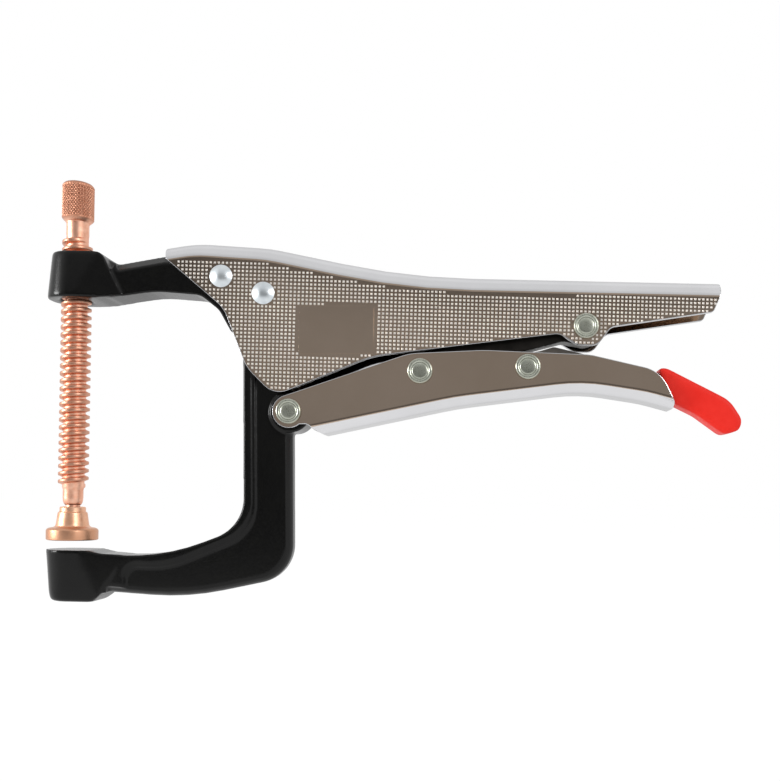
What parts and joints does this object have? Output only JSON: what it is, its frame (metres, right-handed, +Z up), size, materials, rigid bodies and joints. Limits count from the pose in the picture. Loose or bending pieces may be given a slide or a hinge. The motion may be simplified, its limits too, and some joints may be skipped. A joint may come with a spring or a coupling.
{
  "type": "welding clamp",
  "caption": "Locking C clamp for welding: a copper screw spindle with a swivel pad faces a forged anvil jaw, opened and locked by a toggle linkage in pressed steel handles.",
  "frame": {"origin": "centre of the anvil's flat face on the spindle axis", "axes": "+Z up the spindle axis from anvil to head, +X along the handles, Y across the clamp with the pictured side at -Y"},
  "size_m": [0.2703, 0.0216, 0.1632],
  "materials": {
    "handle_nickel": "satin nickel plating with embossed dots",
    "lever_nickel": "satin nickel plating",
    "black_paint": "semi-gloss black over a forged skin",
    "copper": "copper plating, satin",
    "rivet_zinc": "zinc plating, satin",
    "inner_steel": "plain blanked steel",
    "spring_steel": "drawn wire",
    "red_vinyl": "glossy dipped vinyl"
  },
  "bodies": {
    "handle": {"handle_channel": "handle_nickel", "fixed_jaw": "black_paint", "fixed_jaw_rivet": "rivet_zinc", "jaw_pivot_rivet": "rivet_zinc", "link_anchor_rivet": "rivet_zinc", "anchor_spacers": "inner_steel", "spring_anchor": "inner_steel", "jaw_spring": "spring_steel"},
    "jaw": {"moving_jaw": "black_paint", "lever_pivot_rivet": "rivet_zinc"},
    "lever": {"lever_channel": "lever_nickel", "link_pivot_rivet": "rivet_zinc", "link_spacers": "inner_steel", "release_pivot_rivet": "rivet_zinc", "release_spacers": "inner_steel"},
    "link": {"toggle_link": "inner_steel"},
    "release": {"release_lever": "inner_steel", "release_grip": "red_vinyl"},
    "feed": {"pad_snap_ring": "spring_steel"},
    "spindle": {"spindle": "copper"},
    "pad": {"swivel_pad": "copper"}
  },
  "joints": [
    {"name": "jaw_swing", "type": "hinge", "parent": "handle", "child": "jaw", "pos_m": [0.0754, 0, 0.0995], "axis": [0, -1, 0], "range_deg": [0, 10], "deforming": ["jaw_spring"]},
    {"name": "lever_swing", "type": "hinge", "parent": "jaw", "child": "lever", "pos_m": [0.08593, 0, 0.05462], "axis": [0, 1, 0], "range_deg": [0, 32.6]},
    {"name": "link_swing", "type": "hinge", "parent": "lever", "child": "link", "pos_m": [0.13573, 0, 0.0709], "axis": [0, -1, 0], "range_deg": [0, 41]},
    {"name": "release_swing", "type": "hinge", "parent": "lever", "child": "release", "pos_m": [0.17683, 0, 0.07328], "axis": [0, -1, 0], "range_deg": [0, 3.5]},
    {"name": "spindle_feed", "type": "slide", "parent": "handle", "child": "feed", "axis": [0, 0, 1], "range_m": [-0.0027, 0.072]},
    {"name": "spindle_spin", "type": "hinge", "parent": "feed", "child": "spindle", "pos_m": [0, 0, 0.06], "axis": [0, 0, 1], "range_deg": [-325, 8645]},
    {"name": "pad_tilt", "type": "hinge", "parent": "feed", "child": "pad", "pos_m": [0, 0, 0.0106], "axis": [0, 1, 0], "range_deg": [-5, 5]}
  ],
  "couplings": [
    {"joint": "lever_swing", "follows": "jaw_swing", "ratio": 3.26},
    {"joint": "link_swing", "follows": "jaw_swing", "ratio": 4.1},
    {"joint": "spindle_spin", "follows": "spindle_feed", "rad_per_m": 2094.4}
  ]
}
